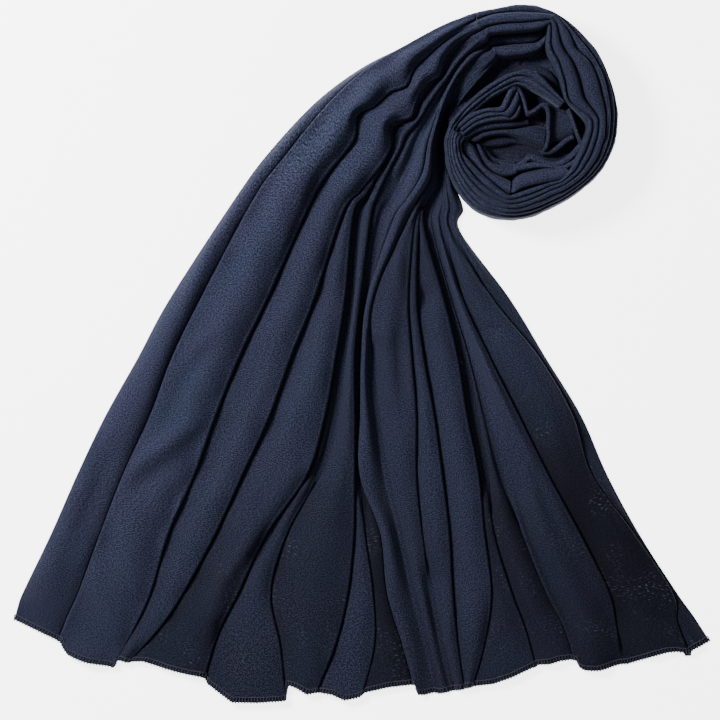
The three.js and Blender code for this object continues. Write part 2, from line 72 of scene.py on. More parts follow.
# Folds from left to right. "over" is the side that lies on top. "hem" is the fold's end at the hem,
# "above" its x halfway from there to the first fan line, "fan" its x on each fan line and "neck"
# its place on each line of the neck. "lap" is how far the cloth doubles back at each line, or
# opens out where it is below zero, and "drop" how much lower the hem hangs right of the fold.
# "stand" is how high the folded edge stands on its own layers, at every second line. Where "lap"
# ends early the fold has opened out from there on, and where "stand" does it stands no more.
FOLDS = [
    dict(over="left", drop=0, hem=(-296.6, -224), above=-293.5,
         fan=[-289, -265, -243, -219, -191, -164],
         neck=[(-108, 136), (-80, 174), (-40, 217), (0, 247), (40, 267), (68, 282), (94.2, 290.5)],
         lap=[0] * 15, stand=[]),
    dict(over="right", drop=8, hem=(-258, -242), above=-249.5,
         fan=[-240, -221.5, -202, -179, -160, -135.5],
         neck=[(-91, 133.4), (-66, 167.5), (-28, 213.5), (6, 244), (43, 265.5), (71, 280),
               (95.1, 288.7)],
         lap=[11, 11, 10, 8, 6, 5, 5, 5, 5, 5, 5, 4, 3, 2], stand=[3, 4, 4, 4, 5, 5, 5, 3]),
    dict(over="left", drop=-3, hem=(-213, -264), above=-195.5,
         fan=[-181, -166, -144, -126, -106, -82],
         neck=[(-47.5, 126.9), (-33, 153), (-8, 184), (14, 217), (51, 253), (76, 272), (97.9, 283.4)],
         lap=[14, 14, 13, 13, 14, 13, 12, 10, 7, 6, 5, 4, 3, 2], stand=[3, 4, 5, 6, 7, 7, 6, 3]),
    dict(over="left", drop=-4, hem=(-200, -260), above=-173,
         fan=[-153, -126, -103, -80, -62, -42],
         neck=[(-18, 122.4), (-2, 143), (18, 168), (34, 202.5), (62, 243), (80, 266), (102, 276.5)],
         lap=[2, 6, 10, 12, 14, 13, 12, 9, 5, 5, 5, 3, 3, 2], stand=[3, 5, 6, 6, 7, 7, 6, 3]),
    dict(over="left", drop=14, hem=(-135, -273), above=-124,
         fan=[-106, -82, -48, -33, -24, -16],
         neck=[(-9, 121), (3, 140.5), (19.5, 165.8), (37, 200), (64, 240), (82, 263.5), (103, 274.6)],
         lap=[1, 3, 5, 7, 8, 8, 7, 5, 2, 1], stand=[4, 5, 5, 4, 3]),
    dict(over="left", drop=-13, hem=(-66, -292), above=-71,
         fan=[-79, -65, -38, -24, -17, -10],
         neck=[(-3.5, 120.2), (7, 138.8), (21, 164.2), (39, 197.5), (65.5, 237), (84, 260.5),
               (104, 272.7)],
         lap=[6, 7, 8, 8], stand=[3, 4]),
    dict(over="left", drop=0, hem=(-40, -286), above=-23,
         fan=[-13, -8, -7.5, -7.5, -8, -3],
         neck=[(6, 118.8), (12, 137.7), (24, 163), (42, 194), (68, 232.5), (86.5, 256), (105.2, 270.5)],
         lap=[6, 8, 10, 10, 8, 6, 3, 2, 2, 3, 3, 3, 2, 1], stand=[4, 5, 4, 3, 4, 5, 4, 2]),
    dict(over="left", drop=-2, hem=(-1, -288), above=9.5,
         fan=[8, 1, -4, -4, -3.8, 1.2],
         neck=[(16, 117.3), (26, 136), (37, 159.5), (49, 189.5), (69.8, 228), (87.3, 253),
               (106.6, 267.4)],
         lap=[2, 3, 4, 1], stand=[3, 3]),
    dict(over="right", drop=9, hem=(45, -279), above=34,
         fan=[22.5, 17, -0.5, 0, 1, 6],
         neck=[(28, 115.5), (40, 134), (53, 156), (58.5, 185), (71.5, 224), (88, 250), (107.9, 264.9)],
         lap=[5, 7, 9, 9, 8, 6, 5, 4, 3, 3, 3, 3, 2, 1], stand=[3, 4, 5, 4, 6, 6, 5, 2]),
    dict(over="right", drop=0, hem=(66, -287), above=56,
         fan=[45, 34, 22, 15, 9.5, 12],
         neck=[(40, 113.6), (50, 134), (60, 152.5), (61, 182), (72.5, 221), (90, 247), (110.7, 259.6)],
         lap=[-3, -3, -3, -3, -3, -3, -3, 2, 4, 4, 3, 2, 1], stand=[0, 0, 0, 1, 5, 4, 3]),
    dict(over="left", drop=0, hem=(76, -285), above=66,
         fan=[58, 50, 45, 45, 41, 38],
         neck=[(43.3, 113.2), (51.8, 133.4), (61, 151.8), (62.2, 181.5), (72.8, 220.3), (90.5, 246.2),
               (111, 259.1)],
         lap=[-3, -3, -3, 1, 3, 5, 5, 4, 2], stand=[0, 0, 4, 6, 4]),
    dict(over="left", drop=0, hem=(86, -283), above=80,
         fan=[76, 73, 67, 60, 51, 45],
         neck=[(47.2, 112.6), (53.9, 132.7), (62, 151.2), (63.4, 181), (73.2, 219.4), (91, 245.1),
               (111.3, 258.5)],
         lap=[1, 4, 5, 6, 6, 6, 5, 4, 1], stand=[2, 5, 6, 6, 4]),
    dict(over="left", drop=0, hem=(93, -281), above=104,
         fan=[109, 103, 98, 88, 80, 68],
         neck=[(51, 112), (56, 132), (63, 150.5), (64.6, 180.5), (73.5, 218.5), (91.5, 244),
               (111.6, 257.9)],
         lap=[2, 6, 8, 8, 7, 6, 5, 3, 1], stand=[3, 5, 6, 5, 3]),
    dict(over="left", drop=-2, hem=(147, -264), above=138,
         fan=[126, 111, 105, 96, 87, 73],
         neck=[(56.5, 111.1), (60, 131), (65, 149.5), (65.6, 179.5), (74.5, 216), (92.5, 241.5),
               (112.3, 256.7)],
         lap=[3, 4, 4, 1], stand=[3, 4, 2]),
    dict(over="right", drop=8, hem=(182, -258), above=173,
         fan=[158, 138, 121, 108, 94, 78],
         neck=[(62, 110.3), (64, 130), (67, 148.5), (66.6, 178.5), (75.5, 213.5), (93.5, 239),
               (113, 255.5)],
         lap=[4, 4, 3, 0], stand=[4, 3, 1]),
    dict(over="left", drop=0, hem=(222, -262), above=216,
         fan=[209, 184, 157, 132, 107, 84],
         neck=[(68, 109.4), (69, 129), (69.5, 147.5), (67.6, 177.5), (76.5, 211.5), (94.5, 236.5),
               (113.6, 254.2)],
         lap=[-3, 0, 4, 6, 7, 7, 5, 0], stand=[0, 4, 6, 5, 2]),
    dict(over="left", drop=-3, hem=(279, -254), above=268,
         fan=[263, 230, 194, 178, 149, 109],
         neck=[(76, 108.2), (75, 128), (72, 147), (68.6, 176.5), (77.5, 209.5), (95.5, 234),
               (114.3, 252.9)],
         lap=[2, 2, 2, 4, 6, 6, 4, 0], stand=[2, 2, 4, 5, 2]),
    dict(over="left", drop=0, hem=(296.6, -242), above=283,
         fan=[268, 236, 209, 187, 156.5, 126],
         neck=[(84, 107), (86.5, 126), (80, 146), (73.5, 175.5), (80.5, 206.5), (97, 231),
               (115, 251.7)],
         lap=[0] * 15, stand=[]),
]

# Panels between the folds: where across it the crown peaks, its height at every second line from
# hem to coil, how light its colour is made there (partly the cloth's own, a single flat layer being
# sheer and looking darkest, and partly painted shade and painted light for how each place is lit), and
# how far the hem sags below a straight line, from the panel's left side to its right, if it does
PANELS = [
    dict(peak=0.38, crown=[4, 7, 9, 12, 13, 11, 4, 2],
         tone=[0.78, 0.83, 0.93, 1.05, 1.05, 0.95, 0.95, 0.9]),
    dict(peak=0.6, crown=[4, 6, 9, 12, 15, 15, 11, 7], hem=[0, 2, 3, 1.5, 0],
         tone=[0.88, 0.92, 0.97, 1.0, 1.02, 1.08, 1.05, 1.0]),
    dict(peak=0.6, crown=[2, 5, 7, 10, 13, 14, 12, 8], hem=[0, -2, -2, -1, 0],
         tone=[0.75, 0.83, 0.9, 0.95, 1.0, 1.08, 1.05, 1.0]),
    dict(peak=0.62, crown=[4, 6, 8, 9, 4, 1.5, 1, 0.5], hem=[0, 0, 1, 1, 0],
         tone=[0.48, 0.47, 0.85, 0.95, 0.9, 1.0, 1.05, 1.0]),
    dict(peak=0.55, crown=[5, 8, 4, 2, 2, 2, 1.5, 1], hem=[0, 5.5, 3.5, 4.5, 1],
         tone=[0.62, 0.75, 0.6, 0.65, 0.6, 0.6, 0.7, 0.8]),
    dict(peak=0.6, crown=[4, 8, 7, 4, 3, 1, 1, 1], hem=[0, 0, 1, 3, 0],
         tone=[0.58, 0.54, 0.62, 0.78, 0.75, 0.7, 0.8, 0.85]),
    dict(peak=0.55, crown=[4, 6, 1, 1, 2, 5, 4, 3], hem=[0, 0, 2.5, 6, 1],
         tone=[0.85, 0.85, 0.8, 0.8, 1.0, 1.2, 1.1, 1.05]),
    dict(peak=0.5, crown=[2, 1.5, 0.5, 0.5, 2, 5, 5, 5], hem=[0, -1.5, -1, -0.5, 0],
         tone=[0.42, 0.42, 0.6, 0.75, 1.0, 1.2, 1.1, 1.05]),
    dict(peak=0.45, crown=[4, 5, 6, 4, 6, 7, 5, 5], hem=[0, 0, 1, 0, 0],
         tone=[0.72, 0.8, 0.9, 0.9, 1.0, 1.1, 1.0, 0.9]),
    dict(peak=0.45, crown=[4, 7, 6, 6, 1, 0.5, 0.5, 0.5],
         tone=[0.6, 0.68, 0.72, 0.75, 0.7, 0.7, 0.75, 0.85]),
    dict(peak=0.5, crown=[4, 6, 5, 5, 1, 0.5, 0.5, 0.5],
         tone=[0.6, 0.75, 0.95, 0.95, 0.65, 0.75, 0.75, 0.8]),
    dict(peak=0.6, crown=[4, 8, 9, 9, 1.5, 0.5, 0.5, 0.5],
         tone=[0.75, 0.9, 0.95, 0.9, 0.65, 0.75, 0.75, 0.8]),
    dict(peak=0.45, crown=[4, 5, 3, 3, 1.5, 0.5, 0.5, 0.5], hem=[0, 3, 3.5, 2, 0],
         tone=[0.68, 0.5, 0.5, 0.6, 0.6, 0.75, 0.75, 0.8]),
    dict(peak=0.5, crown=[4, 6, 4, 3, 1.5, 0.5, 0.5, 0.5], hem=[0, 1, 1, -1.5, 0],
         tone=[0.6, 0.5, 0.5, 0.65, 0.6, 0.75, 0.75, 0.8]),
    dict(peak=0.62, crown=[4, 9, 12, 9, 3, 1, 0.5, 0.5], hem=[0, 2, 3, 1.5, 0],
         tone=[0.42, 0.5, 0.72, 1.0, 0.8, 0.75, 0.75, 0.8]),
    dict(peak=0.55, crown=[4, 6, 8, 10, 4, 2, 1, 0.5], hem=[0, -2, -4, -5, -2],
         tone=[0.42, 0.26, 0.3, 0.8, 0.85, 0.75, 0.75, 0.85]),
    dict(peak=0.5, crown=[1, 1, 3, 3, 3, 2, 1, 1],
         tone=[0.6, 0.5, 0.7, 0.9, 0.9, 0.75, 0.75, 0.85]),
]

# Height that the folds rest at, on the hidden layers under them, and the rise from one layer of a
# fold to the next, at each line from hem to coil
LIFT = [0] * 7 + [1, 3, 6, 10, 15, 22, 27, 32]
RISE = [1.8, 2.0, 2.2, 2.4, 2.6, 2.8] + [3.0] * 4 + [2.8, 2.6, 2.4, 2.2, 2.0]

# Soft ridges and troughs pressed into the panels: the line each follows in plan, its half width
# and its rise, which is below zero for a trough
CREASES = [
    ([(-199, -98), (-170, -76), (-139, -54)], 8, 5),
    ([(-203, -120), (-175, -100), (-150, -82)], 9, -3),
    ([(-238, -60), (-255, -100), (-272, -150), (-285, -200)], 11, 4),
    ([(-212, -75), (-225, -110), (-243, -160), (-256, -205)], 6, -5),
    ([(-125, 20), (-150, -20), (-172, -70)], 7, -3),
    ([(-160, -20), (-140, 8), (-118, 28)], 6, 3),
    ([(-78, 10), (-98, -30), (-118, -75), (-140, -125)], 7, -4),
    ([(-50, -20), (-62, -60), (-84, -100), (-105, -150)], 6, 3),
    ([(-128, 100), (-143, 60), (-168, 0), (-190, -50), (-200, -92)], 6, 4),
    ([(-200, -92), (-222, -130), (-240, -160), (-262, -205)], 9, 2),
    ([(-25, 185), (-45, 152), (-57, 115), (-65, 95), (-88, 40)], 5, 2.5),
    ([(-60, -100), (-80, -135), (-100, -165), (-118, -190), (-127, -220), (-131, -260)], 5, 5),
    ([(28, 62), (20, 0), (25, -42)], 5, 3),
    ([(31, 20), (33, -20), (36, -60)], 4, -4),
    ([(52, 62), (53, 50), (54, 38)], 8, -7),
    ([(98, -55), (115, -100), (127, -150), (143, -200), (153, -228)], 6, 3),
    ([(140, -100), (154, -150), (178, -200), (195, -235)], 7, 4),
    ([(128, -110), (140, -150), (158, -195), (170, -225)], 5, -4),
    ([(145, -100), (158, -128), (180, -170), (205, -215)], 5, -4),
    ([(180, -120), (206, -150), (243, -200), (268, -232)], 6, -4),
    ([(72, 62), (80, 40), (92, 0), (118, -50), (148, -100)], 4, -4),
    ([(60, 85), (72, 62), (86, 40), (100, 22)], 4, -4),
    ([(103, 24), (112, 23), (121, 24)], 4, -3),
    ([(0, 183), (9, 178), (18, 172)], 2.5, -3),
    ([(2, 205), (10, 193)], 2.5, -3),
    ([(-60, -123), (-75, -148), (-93, -178)], 3, -2.5),
    ([(0, -60), (2, -110), (4, -150)], 3, -2),
    ([(108, -220), (116, -245), (122, -273)], 4, -3),
    ([(107, -150), (118, -180), (126, -205)], 4, -3),
    ([(-152, -118), (-160, -140), (-168, -165)], 5, -3),
]

# Places where the folds of the neck turn sharply: the middle of each, how far it is pushed, and
# how far round it the push reaches
NUDGES = [
    dict(at=(3, 199), push=(-7, 6), reach=11),
    dict(at=(34, 235), push=(4, -6), reach=10),
    dict(at=(30, 193), push=(-8, 3), reach=9),
    dict(at=(39, 209), push=(3, -5), reach=8),
    dict(at=(61, 243), push=(3, -4), reach=8),
]

# Where the cloth lies low: the gap between the neck and the coil
SINKS = [
    ([(50, 118), (64, 148), (68, 175), (73, 200), (82, 222)], 8, -13),
]

# The coil is built of stretches of bands lying side by side. Each row crosses a stretch: its outer
# point and its inner one in plan, and how far from the outer one each dark line between the bands
# lies. The top stretch runs from the neck's folded corner to the next corner.
TOP_STRETCH = [
    ((94.3, 290.4), (115, 251.8), [0, 6.9, 16.7, 25.3, 34, 42.5]),
    ((101, 291.8), (113.5, 252.3), [0, 5.6, 14.6, 22, 31, 40]),
    ((110, 293.5), (115, 253), [0, 4.6, 14.2, 21.6, 31, 40]),
    ((122, 296), (125, 252), [0, 5.6, 15, 23, 32, 43]),
    ((135, 297.5), (137, 253), [0, 6.5, 16, 23.6, 32.5, 43]),
    ((148, 296), (148, 256), [0, 6, 13, 20.5, 29.5, 38]),
    ((157, 293), (154, 262), [0, 4, 9.5, 14, 21, 29]),
    ((163, 290.4), (157, 272), [0, 2.5, 6, 9, 13, 18]),
]
TOP_HEIGHTS = [38, 44, 43, 26, 33]

# The long stretch, from that corner round the right, the bottom and the left of the coil
LONG_STRETCH = [
    ((162.9, 290.6), (156, 281), [0, 0.9, 2.0, 3.4, 5.4, 8.2, 11.4]),
    ((172.5, 284.5), (155.8, 276.5), [0, 1.1, 3.2, 5.6, 9.4, 14.2, 18.2]),
    ((183, 275.5), (155.5, 270), [0, 1.2, 5.3, 9.2, 17.2, 24, 28]),
    ((191, 267), (154.5, 263.5), [0, 1.2, 6.2, 13.2, 23, 32, 36.4]),
    ((197.5, 259.5), (156, 257), [0, 1.2, 6.6, 15.6, 26.2, 36.5, 41.3]),
    ((203.5, 248.5), (160.5, 249.5), [0, 1.3, 5.6, 11.6, 26, 38, 43]),
    ((208.8, 236), (167, 234), [0, 1.4, 5, 10, 25.3, 38.6, 41.8]),
    ((213.3, 222), (170.8, 217), [0, 1.8, 6, 10.6, 26, 40, 42.6]),
    ((215.2, 212), (178, 209), [0, 2.4, 6.2, 10.8, 22, 33.5, 37]),
    ((215.9, 203), (186.5, 201), [0, 2.9, 6.4, 10.8, 17.2, 23, 29.3]),
    ((215.3, 193), (189.5, 194), [0, 2.9, 6.3, 10.4, 16, 20.6, 25.7]),
    ((213.5, 182), (186.5, 185), [0, 2.8, 6, 10, 15.8, 20.6, 27]),
    ((206.8, 165.5), (183.5, 176), [0, 2.6, 5.4, 9, 14.4, 19.4, 25.4]),
    ((198, 153.5), (180, 168.5), [0, 2.4, 4.8, 8, 12.6, 17.4, 23.3]),
    ((187, 143.5), (176.5, 160.5), [0, 2.2, 4.4, 7.2, 10.8, 14.6, 19.9]),
    ((172, 133), (168, 150), [0, 2.2, 4.7, 7.9, 11.4, 14.6, 17.4]),
    ((159, 126.5), (158, 147), [0, 2.4, 5.1, 8.9, 13.2, 17, 20.4]),
    ((145, 120.2), (145, 143.5), [0, 2.6, 5.6, 9.2, 13.2, 17.6, 22.8]),
    ((132, 117.3), (131, 139), [0, 2.6, 5.1, 8.2, 11.9, 16, 21]),
    ((122, 117.2), (124.5, 136.5), [0, 2.6, 5, 8, 11.3, 15, 19.3]),
    ((112, 118.4), (119, 139.5), [0, 2.9, 5.6, 8.9, 12.7, 16.9, 22.1]),
    ((98, 123.5), (110, 147), [0, 3.2, 6.2, 10.2, 14.8, 19.8, 26.4]),
    ((86, 134.5), (102, 154.5), [0, 2.8, 5.7, 9.4, 13.7, 18.7, 25.4]),
    ((77, 150), (92.5, 164.5), [0, 2.3, 4.8, 7.8, 11.3, 15.3, 21]),
    ((72.6, 163), (85.5, 171), [0, 2.2, 4.3, 6.8, 9.6, 12.4, 15.2]),
    ((71, 175), (84, 177), [0, 2, 3.9, 6, 8.3, 10.8, 13.1]),
    ((71.3, 185), (85, 181.5), [0, 1.9, 3.7, 5.8, 8.2, 11, 14]),
    ((73.3, 193.5), (87, 183.5), [0, 2.2, 4.4, 7, 9.8, 13, 17]),
]
LONG_HEIGHTS = [33, 38, 42, 45, 44, 42]

# The arch over the folds in the middle, where the outermost bands run on inwards
ARCH = [
    ((71.3, 184), (77.5, 182.5), [0, 2, 4, 6.4]),
    ((74.3, 195.5), (80, 190), [0, 2.4, 5, 7.9]),
    ((80.5, 205), (86.5, 198.5), [0, 2.8, 5.6, 8.8]),
    ((92, 217), (97.5, 209), [0, 3.2, 6.4, 9.7]),
    ((105, 227.7), (110, 219), [0, 3.6, 7, 10]),
    ((118, 236), (121, 225), [0, 4, 7.8, 11.4]),
    ((130, 241), (130, 229.5), [0, 4, 8.7, 11.5]),
    ((141, 242), (138, 228), [0, 6, 12, 14.3]),
    ((150, 238.5), (146, 224), [0, 7, 12.6, 15]),
    ((160, 228), (156, 218.5), [0, 4.6, 8, 10.3]),
    ((171, 215.5), (167, 211), [0, 2, 4, 6]),
]
ARCH_HEIGHTS = [39, 38, 36]

TOP_SEED = 3
LONG_SEED = 4
ARCH_SEED = 9
CREVICE = 9.0  # depth of the dark lines between bands
POCKET_HEIGHT = 17.0  # height of the cloth at the bottom of the coil's pockets

# Folds in the middle of the coil: the two lines in plan that each lies between, point by point,
# and its height at its start and end
MIDDLE_FOLDS = [
    ([(77, 190), (82, 198), (90, 206)],
     [(87, 178), (91, 184), (96, 190)], (34, 31)),
    ([(118, 241), (130, 246.5), (142, 249), (153, 247.5), (161, 241), (168, 230), (171, 220)],
     [(119, 236), (130, 240), (141, 241), (149, 237), (156, 231), (162, 224), (169, 215)], (16, 24)),
    ([(81, 196), (90, 204.5), (104, 209.5), (116, 211), (120, 217), (124, 226), (128, 229.5)],
     [(83, 193.5), (94, 202), (106, 206.7), (119, 207), (124, 214), (127.5, 222),
      (131, 226.5)], (38, 34)),
    ([(83, 192.5), (94, 201.5), (106, 206.2), (119, 206.3), (124.5, 212.5), (128, 220), (131, 226)],
     [(84, 190), (95, 198), (105, 202), (117, 204), (124.5, 202), (130, 209), (133, 217)], (38, 33)),
    ([(84, 189), (95, 197.5), (105, 201.5), (117, 203.5), (124.5, 201.2), (130.5, 208), (133.5, 215)],
     [(85.5, 187), (97, 195.3), (110, 198.8), (122, 199.8), (128, 201), (132, 204),
      (134, 210)], (37, 31)),
    ([(86, 186.5), (97, 194.8), (110, 198.3), (122, 199.2), (132, 200), (140, 201)],
     [(88, 184.5), (99, 190), (112, 193), (126, 194.5), (134, 195.5), (142, 197)], (34, 24)),
    ([(130.5, 229), (135, 225.5), (138.5, 217), (141, 208.5), (147, 211), (152, 214.5), (157.5, 213),
      (159.5, 206), (159.5, 195), (159, 183), (157, 176)],
     [(129, 226), (132.5, 222.5), (136, 214), (139.5, 204), (147, 206.5), (151.5, 210.5),
      (155, 209), (156.3, 204), (156.3, 195), (156, 184), (153, 174)], (33, 27)),
    ([(158, 214), (166, 213.5), (176, 208.5)],
     [(157.5, 178), (167, 181), (180, 186)], (22, 25)),
    ([(175.5, 210), (178.5, 203), (181.5, 194), (184.5, 186), (187, 181)],
     [(173, 209), (176, 202), (179, 193), (182, 185), (184, 180)], (33, 31)),
    ([(90, 184), (103, 190), (118, 192), (130, 193), (145, 196), (156, 193.5)],
     [(97, 181), (104, 186), (116, 188.3), (127, 187), (142, 181), (154, 176)], (30, 24)),
    ([(98, 180.5), (106, 185.3), (118, 187.5), (128, 186), (140, 181), (150, 177)],
     [(101, 178.5), (109, 177.8), (118, 178), (128, 180.5), (138, 179.5), (148, 175.5)], (24, 17)),
    ([(85, 180.5), (84.5, 174), (90, 167), (100, 156.5), (112, 146), (121, 139), (125, 137)],
     [(88, 182), (94, 178.5), (98, 171), (102, 162.5), (110, 155.5), (119, 151),
      (125.5, 148)], (37, 36)),
    ([(97, 180), (98.7, 171.5), (102.7, 163), (110.5, 156.5), (119, 153), (127, 153), (134, 156.5)],
     [(100, 178.5), (103, 173), (107, 167), (113, 163), (120, 161.3), (128, 160.5),
      (136, 161)], (32, 30)),
    ([(101, 177.5), (104, 172.5), (108, 167), (114, 163.5), (122, 162), (130, 162)],
     [(104, 177.5), (107, 174), (111, 169.5), (116, 167), (123, 166), (130, 165.5)], (27, 24)),
    ([(126, 138.5), (127.5, 148.5), (134, 154), (145, 157), (157, 159.3), (170, 160.5)],
     [(129, 138.8), (138, 142.3), (150, 144.8), (160, 146.8), (171, 149), (181, 152.5)], (39, 37)),
    ([(116, 165), (128, 163), (136, 166.5), (141, 171), (149, 169), (157, 165), (166, 165.5),
      (175, 171), (183, 180)],
     [(118, 160.5), (128, 158.5), (137, 161.5), (142, 165.5), (148, 164), (157, 160.5),
      (167, 160), (178, 166.5), (187, 176)], (28, 33)),
    ([(128, 160), (141, 164), (150, 163.5), (159, 161), (170, 161.5), (181, 168)],
     [(130, 156.5), (142, 158.5), (150, 160), (160, 159.5), (172, 158.5), (184, 164)], (33, 36)),
    ([(151, 174.5), (159, 175.5), (166, 180), (172, 185), (178, 188)],
     [(153, 171), (161, 171.5), (168, 176), (174, 181), (180, 184)], (23, 28)),
]


def smooth(t):
    """From 0 to 1 with no corner at either end."""
    t = np.clip(t, 0.0, 1.0)
    return t * t * (3 - 2 * t)


def through(values, place):
    """A value that runs smoothly through a list, at a place given in steps of the list."""
    last = len(values) - 1
    i = int(min(max(math.floor(place), 0), last - 1))
    t = place - i
    a = np.asarray(values[max(i - 1, 0)], float)
    b = np.asarray(values[i], float)
    c = np.asarray(values[i + 1], float)
    d = np.asarray(values[min(i + 2, last)], float)
    square, cube = 2 * a - 5 * b + 4 * c - d, 3 * b - a - 3 * c + d
    return 0.5 * (2 * b + (c - a) * t + square * t * t + cube * t**3)


LINES = len(ROWS_TO_NEXT) + 1  # lines across the cloth, the hem and the coil's edge among them
for fold in FOLDS:
    fold["lap"] += [-OPEN] * (LINES - len(fold["lap"]))
    fold["stand"] += [0] * ((LINES + 1) // 2 - len(fold["stand"]))


def fold_places(fold):
    """The fold's place on every line from hem to coil."""
    hem_x, hem_y = fold["hem"]
    places = [(hem_x, hem_y), (fold["above"], (hem_y + FAN_LINES[0]) / 2)]
    places += list(zip(fold["fan"], FAN_LINES))
    return places + fold["neck"]


def folds_at(place):
    """Every fold's place, lap and direction across the cloth, on one row."""
    at = [through(fold_places(fold), place) for fold in FOLDS]
    laps = [float(through(fold["lap"], place)) for fold in FOLDS]
    across = []
    for i in range(len(at)):
        step = at[min(i + 1, len(at) - 1)] - at[max(i - 1, 0)]
        across.append(step / np.linalg.norm(step))
    return at, laps, across


TURN_STEPS = 4  # points round each turn of a fold


def share_risen(lap):
    """From 0, where a fold has opened out flat, to 1, just before its layers overlap."""
    return float(smooth((lap + OPEN) / (OPEN - 1)))


def fold_section(over, lap, rise, stand, room):
    """Points of a fold as (distance across, height), from the left panel's end to the right's start.

    An opened-out fold takes no more than the room beside it."""
    risen = share_risen(lap)
    turned = float(smooth(lap + 1))
    slack = min(0.5, room / 4) * (1 - turned)
    lies = max(lap, -room)
    end, start = (0.0, -lies) if over == "left" else (lies, 0.0)
    high = (2 * rise + stand) * risen
    left = high if over == "left" else 0.0
    right = high - left
    middle = rise * risen
    reach = rise / 2 * turned
    points = []
    for edge, bulge, low, top in ((end, reach, left, middle), (start, -reach, middle, right)):
        for k in range(TURN_STEPS):
            angle = math.pi * k / (TURN_STEPS - 1)
            x = edge + bulge * math.sin(angle) - slack * math.cos(angle)
            points.append((x, low + (top - low) * (1 - math.cos(angle)) / 2))
    return points


# Points across each panel, more of them on the wide ones
PANEL_POINTS = [12, 14, 12, 13, 10, 12, 10, 11, 10, 10, 10, 10, 10, 12, 14, 14, 9]
UNDER_A_FOLD = [0.0, 0.5, 1.1, 1.9, 3.0]  # where the first points lie beside a fold that lies over
ON_A_FOLD = [0.0, 1.2, 3.0]  # and on the panel that is the fold


def spread_points(width, count, left_under, right_under):
    """Distances across a panel, closer together near its ends."""
    close = min(1.0, width * 0.3 / UNDER_A_FOLD[-1])
    left = [d * close for d in (UNDER_A_FOLD if left_under else ON_A_FOLD)]
    right = [width - d * close for d in (UNDER_A_FOLD if right_under else ON_A_FOLD)][::-1]
    between = count - len(left) - len(right)
    gap = (right[0] - left[-1]) / (between + 1)
    return left + [left[-1] + gap * (k + 1) for k in range(between)] + right


def crown_shape(t, peak):
    """Rounded crown across a panel, from 0 at its edges to 1 where it peaks."""
    bent = t ** (math.log(0.5) / math.log(peak))
    return math.sin(math.pi * bent) ** 1.3 if 0 < bent < 1 else 0.0


def sheet_row(place):
    """One row of the cloth from left to right: its points, how freely each creases, and its tone with
    painted shade beside the folds.
    """
    at, laps, across = folds_at(place)
    rise = float(through(RISE, place))
    lift = max(float(through(LIFT, place)), 0.0)
    last = len(FOLDS) - 1
    stands = [STAND_SHARE * max(float(through(fold["stand"], place / 2)), 0.0) for fold in FOLDS]
    risen = [share_risen(lap) for lap in laps]
    gaps = [float(np.linalg.norm(b - a)) for a, b in zip(at, at[1:])]
    rooms = [ROOM_SHARE * min(pair) for pair in zip(gaps[:1] + gaps, gaps + gaps[-1:])]
    sections = [fold_section(fold["over"], *sizes)
                for fold, *sizes in zip(FOLDS, laps, [rise] * len(FOLDS), stands, rooms)]
    tones = [float(through(panel["tone"], place / 2)) for panel in PANELS]
    near_hem = float(1 - smooth(place / HEM_LINES))
    dark = SHADE * (1 - NECK_PALER * float(smooth((place - NECK_LINE) / 2)))
    points, free, tone = [], [], []

    def put(xy, z, loose, light):
        points.append((xy[0], xy[1], FLOOR_CLEAR + z))
        free.append(loose)
        tone.append(light)

    put(at[0], 0.0, 0.0, tones[0])
    for i, panel in enumerate(PANELS):
        crown = max(float(through(panel["crown"], place / 2)), LEAST_CROWN)
        first = (0.0, 0.0) if i == 0 else sections[i][-1]
        final = (0.0, 0.0) if i == last - 1 else sections[i + 1][0]
        low = lift if i > 0 else 0.0
        high = lift if i < last - 1 else 0.0
        left_under = i > 0 and FOLDS[i]["over"] == "left"
        right_under = i < last - 1 and FOLDS[i + 1]["over"] == "right"
        start = at[i] + across[i] * max(first[0] + CLEAR, NEAREST)
        end = at[i + 1] + across[i + 1] * min(final[0] - CLEAR, -NEAREST)
        width = float(np.linalg.norm(end - start))
        deepest = min(VALLEY, VALLEY_SHARE * width)
        left_deep = deepest * risen[i] if left_under else 0.0
        right_deep = deepest * risen[i + 1] if right_under else 0.0
        drop = FOLDS[i]["drop"] * near_hem
        hem = panel.get("hem", STRAIGHT_HEM)
        for away in spread_points(width, PANEL_POINTS[i], left_under, right_under):
            t = away / width
            xy = start * (1 - t) + end * t
            sag = near_hem * float(through(hem, t * (len(hem) - 1)))
            xy = xy - np.array((0.0, drop * float(smooth(t / DROP_SHARE)) * (1 - t) + sag))
            turn = float(smooth(t))
            level = (low + first[1] + left_deep) * (1 - turn) + (high + final[1] + right_deep) * turn
            level -= left_deep * max(1 - away / VALLEY_WIDTH, 0.0) ** VALLEY_CURVE
            level -= right_deep * max(1 - (width - away) / VALLEY_WIDTH, 0.0) ** VALLEY_CURVE
            loose = float(smooth(min(away, width - away) / FIRM_WIDTH))
            # painted shade: the colour is made darker beside each fold that lies over the panel
            shade = 1 - (dark * risen[i] * math.exp(-away / SHADE_WIDTH) if left_under else 0.0)
            shade -= dark * risen[i + 1] * math.exp((away - width) / SHADE_WIDTH) if right_under else 0.0
            level += CROWN_SHARE * crown * crown_shape(t, panel["peak"])
            put(xy, level, loose, tones[i] * shade)
        if i < last - 1:
            for k, (x, z) in enumerate(sections[i + 1]):
                light = tones[i] if k < TURN_STEPS else tones[i + 1]
                put(at[i + 1] + across[i + 1] * x, lift + z, 0.0, light)
    put(at[last], 0.0, 0.0, tones[last - 1])
    return np.array(points), np.array(free), np.array(tone)


def row_places():
    """Places of all the rows along the cloth."""
    places = []
    for line, count in enumerate(ROWS_TO_NEXT):
        places += [line + k / count for k in range(count)]
    return places + [float(len(ROWS_TO_NEXT))]


